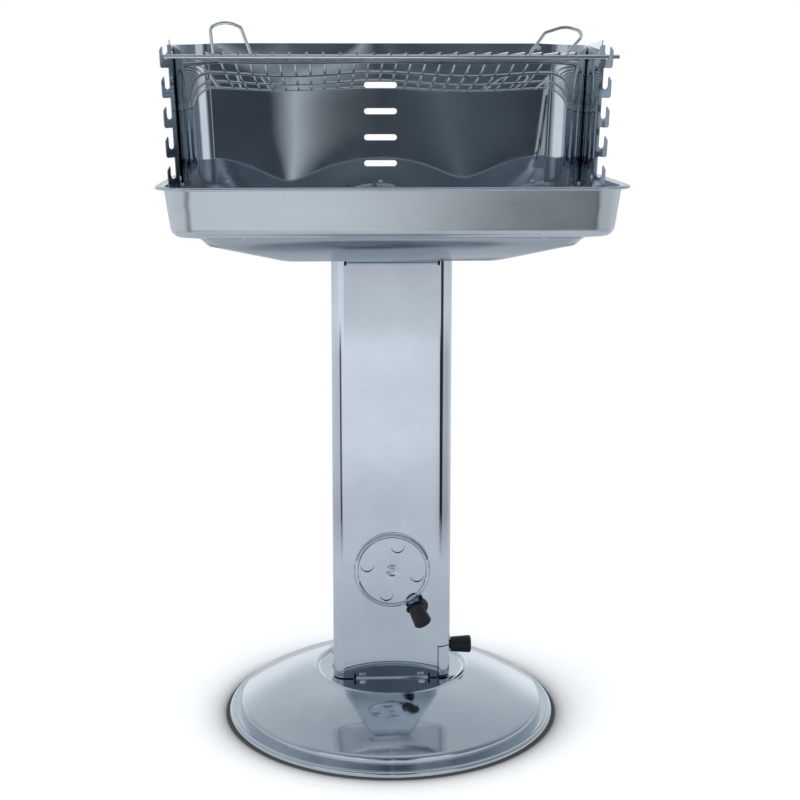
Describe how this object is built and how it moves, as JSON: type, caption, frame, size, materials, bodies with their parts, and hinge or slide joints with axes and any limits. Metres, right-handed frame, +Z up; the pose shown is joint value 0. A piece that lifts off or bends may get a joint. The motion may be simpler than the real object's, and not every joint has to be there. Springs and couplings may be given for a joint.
{
  "type": "pedestal charcoal grill",
  "caption": "Stainless pedestal charcoal grill: round spun base, column with rotary air vent and ash drawer, fire tray, hooked windshield and adjustable wire cooking grate.",
  "frame": {"origin": "on the floor under the centre of the round base and of the fire tray", "axes": "+Z up, +X to the right of a person at the grill, where the ash drawer pulls out, +Y away from that person, towards the windshield's back sheet"},
  "size_m": [0.602, 0.45, 0.9409],
  "materials": {
    "polished_sheet": "mirror-polished stainless steel sheet",
    "satin_sheet": "satin-ground stainless steel sheet",
    "pan_sheet": "polished stainless steel sheet, a little darker",
    "chrome_wire": "bright chrome plated steel wire",
    "coal_wire": "plain drawn steel wire",
    "screw_steel": "bright zinc plated steel",
    "black_plastic": "fine satin, heat-resistant black plastic"
  },
  "bodies": {
    "stand": {"base_ring": "polished_sheet", "base_cone": "polished_sheet", "base_stiffener": "satin_sheet", "column": "polished_sheet", "column_angle": "satin_sheet", "column_foot_screws": "screw_steel", "column_side_screws": "screw_steel", "column_nuts": "screw_steel", "column_top_screws": "screw_steel", "column_top_nuts": "screw_steel", "vent_pivot_screw": "screw_steel", "vent_spring_washer": "screw_steel", "vent_pivot_nut": "screw_steel", "drawer_runners": "satin_sheet", "air_pan": "pan_sheet", "air_pan_rivets": "screw_steel", "tray": "satin_sheet", "shield_back": "polished_sheet", "shield_left": "polished_sheet", "shield_right": "polished_sheet", "hook_rail_left": "polished_sheet", "hook_rail_right": "polished_sheet", "hook_rail_screws": "screw_steel", "hook_rail_nuts": "screw_steel", "shield_lower_screws": "screw_steel", "shield_side_screws": "screw_steel", "shield_upper_screws": "screw_steel", "shield_nuts": "screw_steel", "shield_spacer": "screw_steel"},
    "vent": {"vent_disc": "polished_sheet", "vent_knob": "black_plastic", "vent_knob_screw": "screw_steel"},
    "ash_drawer": {"drawer_box": "satin_sheet", "drawer_front": "polished_sheet", "drawer_knob": "black_plastic", "drawer_knob_screw": "screw_steel"},
    "cooking_grate": {"grate_front_wire": "chrome_wire", "grate_frame": "chrome_wire", "grate_cross_wires": "chrome_wire", "grate_bars": "chrome_wire", "grate_tongue": "chrome_wire", "handle_left": "chrome_wire", "handle_right": "chrome_wire"},
    "coal_grate": {"coal_grate_frame": "coal_wire", "coal_grate_bars": "coal_wire"}
  },
  "joints": [
    {"name": "vent_turn", "type": "hinge", "parent": "stand", "child": "vent", "pos_m": [0, -0.049, 0.2146], "axis": [0, -1, 0], "range_deg": [-45, 45]},
    {"name": "drawer_slide", "type": "slide", "parent": "stand", "child": "ash_drawer", "axis": [1, 0, 0], "range_m": [0, 0.12]},
    {"name": "grate_tilt", "type": "hinge", "parent": "stand", "child": "cooking_grate", "pos_m": [-0.009, 0.1331, 0.8982], "axis": [-1, 0, 0], "range_deg": [0, 20]},
    {"name": "coal_lift", "type": "slide", "parent": "stand", "child": "coal_grate", "axis": [0, 0, 1], "range_m": [0, 0.15]}
  ]
}
